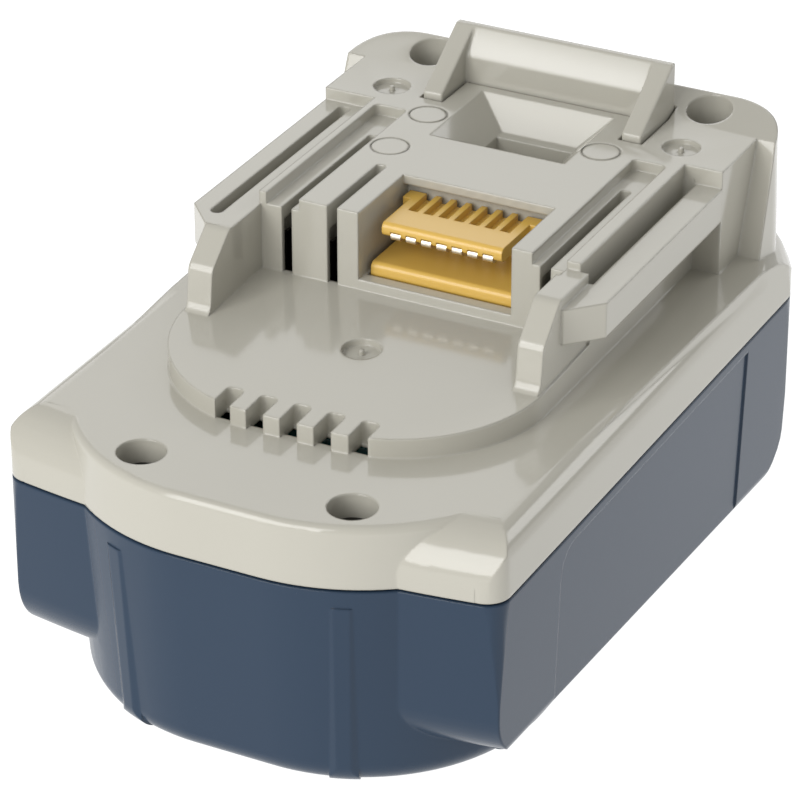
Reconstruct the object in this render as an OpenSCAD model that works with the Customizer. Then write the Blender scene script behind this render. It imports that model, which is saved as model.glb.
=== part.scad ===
// Power tool battery pack that slides onto a tool by two side rails.
// Nose towards -Y, latch and release button at +Y, standing on its foot at z = 0.

/* [Case] */
// Height of the open deck above the parting line
deck_h = 9.4; // [8.5:0.1:12]
// Thickness of the side walls
wall = 2.2; // [1.8:0.1:2.6]
// Thickness of the tub's floor
floor_t = 2; // [1.6:0.1:2.4]
// Thickness of the deck
deck_t = 1.8; // [1.4:0.1:2.2]
// Shadow gap at the parting line
seam_gap = 0.4; // [0.1:0.05:0.6]
// Height of the tub's locating tongue
tongue_h = 1.5; // [1:0.1:2.5]
// Inward lean of each side wall over its height
side_draft = 1; // [0:0.1:1.6]

/* [Nose and ears] */
// Width of the flat on the nose
nose_flat = 12; // [6:1:20]
// How far the nose's core lies inside the side walls
core_inset = 1.5; // [1:0.1:2]
// Inward lean of the core from the parting line to the floor
core_draft = 2; // [0.8:0.1:2.1]
// Wall of the core at the foot
core_wall = 1.4; // [1.2:0.1:1.4]
// Corner radius at the back of the core
core_back_r = 12; // [9:0.5:16]
// Edge radius round the foot
foot_r = 4; // [2:0.5:5]
// Height of the ears' underside at the front
ear_low = 5.8; // [5:0.1:8]
// Fall of the sides' underside towards the back
ear_fall = 4.4; // [2:0.1:4.6]
// Edge radius under the ears' front
ear_foot_r = 8.5; // [6:0.5:12]
// Edge radius under the side walls
side_foot_r = 2.8; // [1:0.1:3.4]
// Edge radius under the back
back_foot_r = 8; // [4:0.5:10]
// Backward lean of the ears' front from the parting line down
ear_draft = 1.2; // [0:0.1:2]
// Set-back of the ears' front behind the nose
ear_set = 4.4; // [3:0.1:8]
// Bow radius of the ears' front
ear_bow = 210; // [120:10:300]
// Vertical edge radius of the ears
ear_corner_r = 3.5; // [2:0.5:6]
// Vertical edge radius at the back
back_corner_r = 9; // [6:0.5:12]
// Radius over the front of the ears
ear_top_r = 7.5; // [4:0.5:8]
// Radius along the sides of the deck
side_top_r = 3.5; // [2:0.5:6]
// Rounding over and under the back corners
corner_r = 8; // [4:0.5:9]
// Plan angle at which the back corners are rounded most
corner_turn = 30; // [25:1:50]
// Radius over the back of the deck
back_deck_r = 5; // [3:0.5:6]
// Rounding at the end of the deck's flare
flare_r = 9; // [6:0.5:9.2]
// Edge radius of the nose's deck
deck_edge_r = 1.2; // [0.6:0.1:2]
// Start of the deck's flare from the nose
flare_set = 33; // [31:0.5:40]
// Depth at which the flare starts below the deck
flare_fade = 0.8; // [0.6:0.1:1.2]
// Length over which the flare comes up to the deck
flare_run = 18; // [10:1:24]
// End of the deck's flare from the back face
flare_back = 7.4; // [7:0.2:12]
// Inward lean of the cover's nose
deck_draft = 0.4; // [0:0.1:1.2]

/* [Side panel and nose ribs] */
// Depth of the flat label panel
panel_depth = 0.25; // [0.2:0.05:0.8]
// Panel front edge from the nose
panel_set = 26.8; // [22:0.5:34]
// Panel back edge from the back face
panel_back = 23; // [20:0.5:34]
// Panel top edge below the parting line
panel_drop = 1.6; // [1:0.1:4]
// Corner radius of the panel
panel_r = 4; // [1:0.5:6]
// Distance of each nose rib from the middle
rib_x = 17.2; // [12:0.2:19]
// Width of a nose rib
rib_w = 2.8; // [2:0.1:3.4]
// Width of each of a rib's sloping flanks
rib_flank = 0.9; // [0.4:0.1:0.9]
// Rib top below the parting line
rib_drop = 2.6; // [1:0.1:5]
// How far a nose rib stands proud
rib_proud = 0.5; // [0.3:0.1:0.8]

/* [Plate and vents] */
// Plate front edge from the nose
plate_set = 19.8; // [17:0.2:24]
// Plate height above the deck at its front
plate_step = 2.85; // [2:0.05:4]
// Further rise of the plate up to the block
plate_rise = 1.45; // [0:0.05:2]
// Width of the flat on the plate's front
plate_flat = 12; // [6:1:20]
// Number of vent slots
vent_count = 5; // [3:2:7]
// Width of a vent slot
vent_w = 2.6; // [1.6:0.1:3]
// Spacing of the vent slots
vent_pitch = 5.15; // [4.6:0.05:5.6]
// Length of a vent slot
vent_len = 4.6; // [3:0.1:6]
// Length of the hole at the inner end of a vent slot
vent_hole = 3.4; // [1:0.1:3.6]
// Deck left over the trough behind the vent holes
vent_lip = 0.6; // [0.5:0.1:1]

/* [Block and rails] */
// Block front from the nose
block_set = 55.4; // [53:0.2:58]
// Height of the block's top above the deck
block_h = 16.3; // [15:0.1:18]
// Rail flange edge in from the side wall
rail_inset = 5.5; // [4.5:0.1:6]
// Depth of the groove under a rail flange
rail_depth = 4.3; // [3:0.1:5]
// Flange top below the block's top
rail_drop = 1.95; // [1:0.05:3]
// Height of a flange
rail_lip = 6.05; // [4:0.05:7]
// Flange stop from the back face
rail_stop = 22.2; // [20:0.2:26]
// Flange front tip ahead of the block's front
rail_ahead = 8.8; // [6:0.2:12]
// Length of the slanted flange tip
rail_tip = 4.6; // [2:0.2:6]
// Width of the slot along each flange
rail_slot_w = 1.9; // [1.2:0.1:2.4]
// Left slot's middle in from the flange edge
rail_slot_in = 4; // [3.4:0.1:4.6]
// Depth of the flange slots
rail_slot_depth = 4; // [2:0.5:5]
// Raised top's left edge from the middle
top_left = 23.8; // [23.6:0.1:24.6]
// Raised top's right edge from the middle
top_right = 26.1; // [26:0.1:26.7]
// Height of the right guide wall above the left one
guide_lift = 0.75; // [0.2:0.05:1.2]
// Drop of the right rail's top below the left one
lip_drop = 0.75; // [0.2:0.05:1.2]
// Thickness of the guide walls ahead of the block
guide_w = 4.2; // [3:0.1:5]
// Length of the guide walls' level top
guide_top = 9.1; // [7:0.1:10]
// Length of the guide walls' slope
guide_slope = 5.1; // [4:0.1:7]
// Drop of the guide walls' slope
guide_drop = 4.35; // [3:0.05:5]
// Bend radius of the guide walls' front
guide_r = 2.2; // [1:0.1:2.6]

/* [Terminal slots] */
// Middle of the charging slot
charge_x = -19.45; // [-19.8:0.05:-19.2]
// Middle of the positive slot
positive_x = -12.2; // [-12.6:0.05:-12]
// Middle of the negative slot
negative_x = 20.85; // [20.6:0.05:21.1]
// Width of the terminal slots
slot_w = 1.6; // [1.2:0.1:1.8]
// Length of the two long slots
slot_len = 26.8; // [22:0.2:28]
// Length of the positive slot
slot_short = 15.3; // [12:0.1:16]
// Depth of the channels along the long slots
channel_drop = 1.75; // [1:0.05:2.5]
// Width of the channels
channel_w = 5.2; // [4:0.1:5.4]
// Sideways shift of a channel from its slot, outwards
channel_shift = 0.6; // [0.2:0.1:0.7]
// Length of the channels
channel_len = 33.5; // [30:0.5:34]
// Room beside each fork inside its pocket
fork_room = 1.1; // [0.6:0.1:1.1]
// Front wall of the block
block_front = 0.8; // [0.7:0.1:1.2]
// Corner radius at the ends of channels, vents and flange slots
slot_r = 0.8; // [0.4:0.1:0.8]

/* [Connector bay] */
// Middle of the bay
bay_x = 3.8; // [3.6:0.1:4]
// Width of the bay
bay_w = 23.8; // [23.4:0.1:24]
// Depth of the bay from the block's front
bay_len = 13.9; // [13:0.1:14.4]
// How far the bay reaches back under the block's top
bay_under = 1.5; // [1:0.1:1.7]
// Thickness of the block's top over the bay's back
bay_lid = 1.4; // [1:0.1:1.8]
// Height of the bay's sill above the plate
sill_h = 1.6; // [0.8:0.1:2]

/* [Yellow connector] */
// Width of the lower tray
tray_w = 22.3; // [20:0.1:22.4]
// Thickness of the lower tray
tray_t = 2.5; // [1.8:0.1:3]
// Tray front behind the block's front
tray_set = 2.4; // [2.4:0.1:3]
// Tray top below the block's top
tray_drop = 8.6; // [8:0.1:9]
// Width of the upper comb
comb_w = 18.7; // [17.6:0.1:19.5]
// Thickness of the upper comb
comb_t = 2.1; // [1.6:0.1:2.6]
// Comb front behind the block's front
comb_set = 3.4; // [2.8:0.1:4]
// Comb top below the block's top
comb_drop = 2.6; // [2:0.1:3.4]
// Length of the comb's solid lip
comb_lip = 5.4; // [4:0.1:6]
// Thickness of the connector's back wall
comb_back = 1.6; // [1.2:0.1:2]
// Length of the wider ears at the comb's back
comb_ear = 2.4; // [2:0.1:3]
// Radius of the connector's front lips
lip_r = 0.9; // [0.5:0.1:1]
// Shift of the comb from the middle of the bay
comb_shift = -0.6; // [-1:0.1:0]
// Spacing of the contacts
contact_pitch = 2.4; // [2.2:0.05:2.5]
// Width of a contact
contact_w = 1.5; // [1:0.1:1.6]
// Thickness of a contact's leaf
contact_t = 0.4; // [0.3:0.05:0.5]
// Radius of a contact's rolled nose
contact_r = 0.65; // [0.5:0.05:0.7]

/* [Latch] */
// Width across the hook
hook_w = 35.2; // [32:0.2:36]
// Width of each hook prong
prong_w = 3.1; // [2.4:0.1:3.4]
// Height of the hook's top above the block
hook_h = 7.9; // [7:0.1:9]
// Back of the hook from the back face
hook_set = 6.6; // [6.4:0.1:7]
// Length of the hook's level top
hook_flat = 1.2; // [0.6:0.1:2]
// Thickness of the hook's cross bar
hook_bar = 4; // [3.6:0.1:4.4]
// Reach of the prongs from the hook's back
prong_reach = 12; // [10:0.2:12.4]
// Height of the prong tips above the block
prong_tip = 0.9; // [0.6:0.1:1.6]
// Height of the cross bar's upright face above the block
bar_face = 4; // [3:0.1:5]
// Depth of the prongs below the block's top
prong_deep = 7.5; // [5:0.1:8]
// Depth of the hook's foot below the block's top
hook_deep = 17.7; // [17.5:0.1:18.5]
// Thickness of the hook's foot
hook_foot = 3; // [2:0.1:4]
// Running clearance round the hook and button
slide_gap = 0.35; // [0.3:0.05:0.45]
// Travel of the hook when the button is pulled down
travel = 7; // [5:0.1:7]
// Width of the release button
button_w = 28; // [24:0.5:28.4]
// Height of the release button
button_h = 12; // [10:0.2:12.4]
// Button top below the block's top
button_drop = 4.7; // [4.6:0.1:5.2]
// Thickness of the button's plate
button_t = 3.2; // [2.6:0.1:3.4]
// How far the button lies inside the back face
button_in = 0.2; // [0:0.1:0.6]
// Thickness of the lip under the button
button_lip = 1.2; // [1:0.1:1.3]
// Height of the stem that joins button and hook
stem_h = 4; // [3:0.2:5]
// Stem top below the button's top
stem_drop = 1; // [0.6:0.1:1.6]
// Number of grip ridges on the button
ridge_count = 4; // [3:1:5]
// Height of a grip ridge
ridge_h = 0.8; // [0.5:0.1:1.1]

/* [Latch springs] */
// Distance of each spring from the middle
spring_x = 9; // [7:0.2:10]
// Outer diameter of a spring
spring_d = 5; // [4.4:0.1:5.2]
// Wire diameter of a spring
spring_wire = 0.7; // [0.5:0.05:0.8]
// Number of turns
spring_turns = 8; // [6:1:9]
// Height of the spring seats
spring_seat = 14; // [12:0.5:16]

/* [Latch pocket] */
// Width of the pocket's mouth
pocket_w = 21.6; // [20:0.2:22]
// Length of the pocket's mouth
pocket_len = 17.3; // [15:0.1:17.4]
// Land between the pocket and the hook's bar
pocket_land = 2; // [1.6:0.1:2.6]
// Depth of the tapered mouth
pocket_depth = 4.7; // [3.6:0.1:5]
// Inward slope of the pocket's sides
pocket_slope = 4.7; // [3:0.1:5]
// Inward slope of the pocket's back
pocket_back = 2.8; // [1.6:0.1:3.2]
// Ledge at the foot of the pocket's back
pocket_ledge = 1.7; // [1:0.1:2.4]
// Further depth of the pocket ahead of the ledge
pocket_well = 3.6; // [2:0.1:4]

/* [Back plate] */
// Depth of the back plate at the block's top
back_depth = 9.6; // [9.2:0.1:10]
// Forward lean of the back plate's front at the deck
back_lean = 5.6; // [3:0.1:6]
// Rise of the ramp over the back plate
ramp_rise = 2.1; // [1:0.1:2.6]
// Back plate's back in from the back face
ramp_in = 0.3; // [0.2:0.1:0.8]
// Back plate's foot in from the side wall
back_inset = 1.8; // [1.4:0.1:3]
// Inward lean of the back plate up to its top
back_draft = 0.8; // [0.4:0.1:1]
// Vertical edge radius of the back plate
back_plate_r = 10.5; // [8:0.5:12]
// Edge radius along the back plate's top
back_top_r = 1; // [0.5:0.1:2]

/* [Screws and marks] */
// Front screws from the middle
front_screw_x = 15.84; // [14:0.1:16.4]
// Front screws from the nose
front_screw_set = 8.1; // [7.6:0.1:8.6]
// Radius of the front screw holes
front_hole_r = 3.4; // [3:0.1:3.6]
// Rear screws from the middle
rear_screw_x = 22.7; // [22:0.1:23]
// Rear screws from the back face
rear_screw_set = 5.4; // [5.3:0.1:6]
// Radius of the rear screw holes
rear_hole_r = 3.4; // [3.2:0.1:3.5]
// Height of the screw seats above the parting line
seat_h = 4; // [1.6:0.1:4.4]
// Radius of a screw's head
head_r = 2.75; // [2.4:0.05:2.9]
// Height of a screw's head
head_h = 2.2; // [1.6:0.1:2.6]
// Reach of the cross recess from the head's middle
cross_r = 1.9; // [1.4:0.1:2.2]
// Width of the cross recess
cross_w = 0.55; // [0.4:0.05:0.8]
// Radius of a screw's shank
shank_r = 1.5; // [1.2:0.05:1.6]
// Length of a screw's shank
shank_len = 14; // [10:0.5:18]
// Clearance round a screw's shank
screw_gap = 0.1; // [0.05:0.05:0.2]
// Wall of the screw bosses
boss_wall = 1.5; // [1.2:0.1:1.6]
// Radius of the moulding gate dimples
gate_r = 2.8; // [2:0.1:3]
// Depth of the gate dimples
gate_depth = 0.8; // [0.4:0.1:1]
// Radius of the gate stubs
stub_r = 0.4; // [0.2:0.1:0.6]
// Gate dimples on the block from the middle
gate_x = 23.4; // [22:0.1:24]
// Gate dimples on the block from the back face
gate_set = 17.3; // [16.5:0.1:18]
// Gate dimple on the plate ahead of the block
gate_ahead = 14.5; // [11:0.5:18]
// Left ring marks from the middle
ring_left = 14.1; // [13.4:0.1:15]
// Right ring mark from the middle
ring_right = 13.7; // [13:0.1:14.5]
// Ring marks behind the block's front
ring_set = 33.6; // [32:0.2:35]
// Spacing of the two left ring marks
ring_step = 12.2; // [9:0.2:13]
// Radius of the bare ring marks
ring_r = 2.9; // [2:0.1:3.2]
// Width and depth of the ring marks
ring_t = 0.25; // [0.15:0.05:0.4]

/* [Cells] */
// Diameter of a cell
cell_d = 18.2; // [17.6:0.1:19]
// Length of a cell
cell_len = 65; // [60:0.5:71]
// Clearance between the two rows of cells
row_gap = 0.4; // [0.3:0.05:0.6]
// Clearance between neighbouring cells of a row
cell_space = 0.6; // [0.5:0.05:0.8]
// Clearance between the cell ends and the tub's foot
cell_end_gap = 0.1; // [0.1:0.05:0.6]
// How far the lower row reaches into the nose's curve
cell_reach = 4.4; // [3:0.1:4.8]
// Clearance behind the last cell, to the spring seats
cell_back_gap = 0.25; // [0.2:0.05:1]
// Clearance over the upper row, to the board
cell_top_gap = 0.75; // [0.6:0.05:2]
// Height of a cell's end cap
cap_h = 0.4; // [0.2:0.1:0.8]
// Radius of a cell's end cap
cap_r = 4; // [3:0.5:5]
// Thickness of the floor pad
pad_t = 0.6; // [0.4:0.1:0.8]
// Width of the floor pad
pad_w = 48; // [30:1:50]
// Width of a holder along the cells
holder_w = 5; // [3:0.5:6]
// Holder's outer face in from the cell ends
holder_in = 0.3; // [0.2:0.1:0.6]
// Plastic left round the outermost cells
holder_edge = 0.6; // [0.4:0.1:0.8]
// Clearance round each cell in its holder
cell_gap = 0.05; // [0.03:0.01:0.1]
// Thickness of the cell straps
strap_t = 0.2; // [0.15:0.05:0.3]
// Width of the cell straps
strap_w = 7; // [5:0.5:8]
// Thickness of the insulating sheets
sheet_t = 0.3; // [0.2:0.1:0.5]
// Lower edge of the insulating sheets below the lower cells' middles
sheet_low = 1.5; // [1:0.1:1.5]
// Edge of the insulating sheets beyond the cell middles
sheet_edge = 7; // [5:0.5:7]

/* [Circuit board] */
// Width of the board
board_w = 60; // [58:0.5:64]
// Length of the board
board_len = 41; // [38:0.5:42]
// Board front ahead of the block's front
board_ahead = 8; // [6:0.5:10]
// Thickness of the board
board_t = 1.6; // [1.2:0.1:1.8]
// Room between the board and the deck
board_gap = 0.4; // [0.3:0.1:0.8]
// Side of the controller chip
chip_w = 7; // [5:0.5:8]
// Thickness of the controller chip
chip_t = 1; // [0.8:0.1:1.4]
// Diameter of the capacitor
cap_d = 6.3; // [5:0.1:7]
// Height of the capacitor
cap_len = 7.7; // [6:0.1:9]
// Length of the fuse
fuse_len = 8; // [6:0.5:9]
// Width and height of the fuse
fuse_w = 3; // [2:0.1:4]
// Thickness of a fork's leaf
leaf_t = 0.5; // [0.4:0.1:0.6]
// Height of a fork above the board
fork_h = 12; // [9:0.5:13]
// Length of a fork
fork_len = 8; // [6:0.5:8.5]
// Gap at a fork's pinch
pinch = 0.8; // [0.5:0.1:1]
// Radius of the thermistor's bead
bead_r = 1.1; // [0.8:0.1:1.2]
// Radius of the thermistor's leads
lead_r = 0.3; // [0.2:0.05:0.4]

/* [Hidden] */
$fn = 64;
small_fn = 24;
mark_fn = 48;
eps = 0.01;
far = 400;
cell_count = 4;
contact_count = 7;
bow_turn = 40;

cell_pitch = cell_d + cell_space;
row_step = sqrt(pow(cell_d + row_gap, 2) - pow(cell_pitch / 2, 2));
row_z = floor_t + pad_t + cell_d / 2;
row_len = (cell_count - 1) * cell_pitch;

half_w = cell_len / 2 + cell_end_gap + core_wall + core_draft + core_inset;
core_half = half_w - core_inset;
cell_set = core_half - nose_flat / 2 - cell_reach + cell_d / 2;
body_len = cell_set + row_len + cell_d / 2 + cell_back_gap + boss_wall / 2 + spring_d + hook_set;
board_room = board_t + board_gap + deck_t;
seam_z = row_z + row_step + cell_d / 2 + cell_top_gap + board_room - deck_h;

y_nose = -body_len / 2;
y_back = body_len / 2;
deck_z = seam_z + deck_h;
roof_z = deck_z - deck_t;
block_z = deck_z + block_h;
rail_z = block_z - rail_drop;

core_end = y_back - core_inset;
ear_y = y_nose + ear_set;

plate_y = y_nose + plate_set;
plate_z = deck_z + plate_step;
block_y = y_nose + block_set;
plate_high = plate_z + plate_rise;
rail_x = half_w - rail_inset;
groove_x = rail_x - rail_depth;
rail_end = y_back - rail_stop;
back_y = y_back - back_depth;
guide_y = block_y - guide_top;
guide_foot = guide_y - guide_slope;

bay_end = block_y + bay_len;
sill_z = plate_high + sill_h;

corner_reach = (half_w - back_corner_r) * cos(corner_turn) + (y_back - back_corner_r) * sin(corner_turn)
    + back_corner_r + seam_gap;

hook_back = y_back - hook_set;
bar_y = hook_back - hook_bar;
tip_y = hook_back - prong_reach;
hook_low = block_z - hook_deep;
button_z = block_z - button_drop;
window_top = button_z + slide_gap;
window_low = seam_z + seam_gap + button_lip;
recess_y = y_back - button_in - button_t - slide_gap;
shaft_end = hook_back + 2 * slide_gap;
foot_half = spring_x + spring_d;
stem_top = button_z - stem_drop;
pocket_end = bar_y - pocket_land;
pocket_y = pocket_end - pocket_len;
shaft_z = block_z - prong_deep;

board_top = roof_z - board_gap;
board_z = board_top - board_t;
board_y = block_y - board_ahead;

row_y = y_nose + cell_set;
pad_len = row_len + cell_d / 2;
strap_x = cell_len / 2;
spring_y = hook_back - spring_d / 2;
spring_free = hook_low - spring_seat;
seat_z = seam_z + seat_h;

function cell_y(i) = i < cell_count ? row_y + i * cell_pitch : row_y + (i - cell_count - 0.5) * cell_pitch;
function cell_z(i) = i < cell_count ? row_z : row_z + row_step;

// Points of the arc that rounds corner b of the path a, b, c
function turn(a, b, c, r, n = 8) =
    let (u = (a - b) / norm(a - b), v = (c - b) / norm(c - b))
    let (half = acos(u * v) / 2, reach = r / tan(half), mid = (u + v) / norm(u + v))
    let (centre = b + mid * r / sin(half), p = b + u * reach - centre, q = b + v * reach - centre)
    let (start = atan2(p.y, p.x), sweep = atan2(p.x * q.y - p.y * q.x, p * q))
    [for (k = [0:n]) centre + r * [cos(start + sweep * k / n), sin(start + sweep * k / n)]];

// Plain helpers

module box(x0, x1, y0, y1, z0, z1) {
    translate([x0, y0, z0]) cube([x1 - x0, y1 - y0, z1 - z0]);
}

// A profile drawn in y and z, extruded across x
module across(x0, x1) {
    translate([x0, 0, 0]) rotate([90, 0, 90]) linear_extrude(x1 - x0) children();
}

// A profile drawn in x and z, extruded along y
module along(y0, y1) {
    translate([0, y1, 0]) rotate([90, 0, 0]) linear_extrude(y1 - y0) children();
}

module both_sides() {
    children();
    mirror([1, 0, 0]) children();
}

// Half of an upright section: leaning side with a rounded lower edge
module half_section(top, low, z0, z1, r) {
    polygon([[0, z0 + r], [low, z0 + r], [top, z1], [0, z1]]);
    if (r > 0) {
        translate([0, z0]) square([low - r, r + eps]);
        translate([low - r, z0 + r]) circle(r);
    }
}

module full_section(top, low, z0, z1, r) {
    half_section(top, low, z0, z1, r);
    mirror([1, 0]) half_section(top, low, z0, z1, r);
}

// Core of the pack: D-shaped nose, straight sides and rounded back, with a rounded lower edge
module core(inset, lean, z0, z1, r) {
    hx = core_half - inset;
    xn = nose_flat / 2;
    rn = hx - xn;
    rb = core_back_r - inset;
    yn = y_nose + inset + rn;
    yb = core_end - inset - rb;
    for (s = [0, 1]) {
        translate([xn - s * nose_flat, yn, 0]) rotate([0, 0, 270 - 90 * s])
            rotate_extrude(angle = 90) half_section(rn, rn - lean, z0, z1, r);
        translate([(1 - 2 * s) * (hx - rb), yb, 0]) rotate([0, 0, 90 * s])
            rotate_extrude(angle = 90) half_section(rb, rb - lean, z0, z1, r);
    }
    translate([xn, yn, 0]) rotate([90, 0, -90])
        linear_extrude(nose_flat) half_section(rn, rn - lean, z0, z1, r);
    translate([rb - hx, yb, 0]) rotate([90, 0, 90])
        linear_extrude(2 * (hx - rb)) half_section(rb, rb - lean, z0, z1, r);
    along(yn, yb) full_section(hx, hx - lean, z0, z1, r);
}

// Plan of the two ears and the side walls, with corners tangent to the bowed front
module wing_plan(inset) {
    r = max(ear_corner_r - inset, seam_gap);
    rb = back_corner_r - inset;
    hx = half_w - inset;
    bow = ear_bow - inset;
    corner_y = ear_y + ear_bow - sqrt(pow(bow - r, 2) - pow(hx - r, 2));
    intersection() {
        translate([0, ear_y + ear_bow]) circle(bow, $fn = 256);
        translate([r - hx, ear_y]) square([2 * (hx - r), corner_y - ear_y + r]);
    }
    for (s = [-1, 1]) {
        translate([s * (hx - r), corner_y]) circle(r);
        translate([s * (hx - rb), y_back - inset - rb]) circle(rb);
    }
    translate([-hx, corner_y]) square([2 * hx, y_back - inset - rb - corner_y]);
    translate([rb - hx, y_back - inset - rb - eps]) square([2 * (hx - rb), rb + eps]);
}

// Sector turned about the centre of the ears' bow
module bow_sector() {
    translate([0, ear_y + ear_bow, 0]) rotate([0, 0, 270 - bow_turn / 2])
        rotate_extrude(angle = bow_turn, $fn = 256) children();
}

// Plan of the whole pack at the parting line
module seam_plan(inset) {
    wing_plan(inset);
    hx = core_half - inset;
    for (s = [-1, 1])
        translate([s * nose_flat / 2, y_nose + inset + hx - nose_flat / 2]) circle(hx - nose_flat / 2);
    translate([-nose_flat / 2, y_nose + inset]) square([nose_flat, core_half]);
}

// A profile drawn along the right back corner's turn and in z
module at_back_corner() {
    rotate([0, 0, corner_turn]) along(-far, far) children();
}

// Level top that ends in a rounded edge
module top_profile(end, z1, r) {
    polygon(concat([[-far, 0], [-far, z1]], turn([-far, z1], [end, z1], [end, 0], r), [[end, 0]]));
}

// Rounds the cover over towards its back edge and back corners
module back_round(inset, z1) {
    intersection() {
        children();
        across(-far, far) top_profile(y_back - inset, z1, back_deck_r);
        at_back_corner() top_profile(corner_reach - inset, z1, corner_r);
        mirror([1, 0, 0]) at_back_corner() top_profile(corner_reach - inset, z1, corner_r);
    }
}

// What the rounding of a side wall's lower edge takes off, along the falling underside
module side_foot_cut(front_low, back_low) {
    lean = atan(side_draft / seam_z);
    fall = atan((front_low.y - back_low.y) / (back_low.x - front_low.x));
    edge = half_w - side_draft * (1 - front_low.y / seam_z);
    r = side_foot_r;
    dip = r * sin(lean);
    translate([edge, front_low.x, front_low.y]) rotate([0, lean, 0]) rotate([-fall, 0, 0])
        along(-far, far) translate([eps - r, -dip - eps]) difference() {
            translate([0, -r]) square([2 * r, 2 * r]);
            translate([0, r]) circle(r);
        }
}

// Side walls and ears of the tub: bowed fronts with a large lower edge, underside falling to the back
module wing_low() {
    y_front = ear_y + ear_foot_r + ear_draft;
    front_low = [y_front, ear_low];
    back_low = [y_back - side_draft, ear_low - ear_fall];
    back_top = [y_back, seam_z];
    module corner_profile() {
        low = [corner_reach - side_draft, back_low.y];
        top = [corner_reach, seam_z];
        polygon(concat(
            [[-far, far], [-far, low.y]], turn([-far, low.y], low, top, corner_r), [top, [top.x, far]]
        ));
    }
    difference() {
        intersection() {
            linear_extrude(seam_z) wing_plan(0);
            at_back_corner() corner_profile();
            mirror([1, 0, 0]) at_back_corner() corner_profile();
            along(-far, far) full_section(half_w, half_w - side_draft, 0, seam_z, 0);
            union() {
                intersection() {
                    bow_sector()
                        half_section(ear_bow - eps, ear_bow - ear_draft, ear_low, seam_z, ear_foot_r);
                    box(-far, far, -far, y_front + eps, 0, far);
                }
                across(-far, far) polygon(concat(
                    [[y_front, seam_z], front_low],
                    turn(front_low, back_low, back_top, back_foot_r), [back_top]
                ));
            }
        }
        both_sides() side_foot_cut(front_low, back_low);
    }
}

// Side walls and ears of the cover, rounded over at the top
module wing_top(inset, z1) {
    y_front = ear_y + ear_top_r + wall;
    intersection() {
        translate([0, 0, seam_z]) linear_extrude(z1 - seam_z) wing_plan(inset);
        along(-far, far) translate([0, seam_z + z1]) mirror([0, 1])
            full_section(half_w - inset, half_w - inset, seam_z, z1, side_top_r);
        union() {
            intersection() {
                translate([0, 0, seam_z + z1]) mirror([0, 0, 1])
                    bow_sector() half_section(ear_bow - inset, ear_bow - inset, seam_z, z1, ear_top_r);
                box(-far, far, -far, y_front + eps, 0, far);
            }
            box(-far, far, y_front, far, 0, far);
        }
    }
}

// Nose and deck of the cover: the deck flares out to the side walls towards the back
module deck_core(inset, z1, r) {
    translate([0, 0, seam_z + z1]) mirror([0, 0, 1])
        core(inset, deck_draft, seam_z, z1, r);
    narrow = core_half - deck_draft - inset;
    wide = half_w - inset;
    front_top = [y_nose + flare_set, z1];
    back_top = [y_back - flare_back - inset, z1];
    back_low = [y_back - flare_back - inset, seam_z];
    intersection() {
        translate([0, 0, seam_z]) linear_extrude(z1 - seam_z) polygon([
            [-narrow, front_top.x], [narrow, front_top.x], [wide, back_top.x - flare_r],
            [wide, back_top.x], [-wide, back_top.x], [-wide, back_top.x - flare_r]
        ]);
        across(-far, far) polygon(concat(
            [[front_top.x, seam_z], [front_top.x, z1 - flare_fade], [front_top.x + flare_run, z1]],
            turn(front_top, back_top, back_low, flare_r), [back_low]
        ));
    }
}

// Tube that a screw runs down
module post(r, z0, z1) {
    translate([0, 0, z0]) cylinder(r = r, h = z1 - z0);
}

module at_front_screws() {
    for (s = [-1, 1]) translate([s * front_screw_x, y_nose + front_screw_set, 0]) children();
}

module at_rear_screws() {
    for (s = [-1, 1]) translate([s * rear_screw_x, y_back - rear_screw_set, 0]) children();
}

// The tub

module tub_inside() {
    core(core_wall, core_draft, floor_t, seam_z + eps, 0);
    translate([0, 0, ear_low + ear_foot_r]) linear_extrude(seam_z) wing_plan(wall + side_draft);
}

// Flat panel let into a side wall, following its lean
module side_panel() {
    y0 = y_nose + panel_set;
    y1 = y_back - panel_back;
    translate([half_w, 0, seam_z]) rotate([0, atan(side_draft / seam_z), 0])
        across(-panel_depth, wall) difference() {
            translate([y0, -2 * seam_z]) square([y1 - y0, 2 * seam_z - panel_drop]);
            translate([y0, -panel_drop - panel_r]) difference() {
                square(panel_r);
                translate([panel_r, 0]) circle(panel_r);
            }
        }
}

// Two upright ribs on the nose, which run out towards their tops
module nose_ribs() {
    rn = core_half - nose_flat / 2;
    bearing = asin((rib_x - nose_flat / 2) / rn);
    slope = rib_flank / rib_proud;
    base = rib_w / 2 + slide_gap * slope;
    crest = rib_w / 2 - rib_flank;
    inset = core_draft * rib_drop / seam_z - slide_gap / 2;
    intersection() {
        core(inset, core_draft - rib_proud - inset, 0, seam_z - rib_drop, foot_r);
        both_sides() translate([nose_flat / 2, y_nose + rn, seam_z]) rotate([0, 0, bearing])
            translate([0, -rn, 0]) rotate([atan(core_draft / seam_z), 0, 0]) translate([0, 0, -2 * seam_z])
                linear_extrude(3 * seam_z) polygon([
                    [-base, 2 * foot_r], [base, 2 * foot_r], [base, slide_gap], [crest, -rib_proud],
                    [crest, -wall], [-crest, -wall], [-crest, -rib_proud], [-base, slide_gap]
                ]);
    }
}

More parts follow.
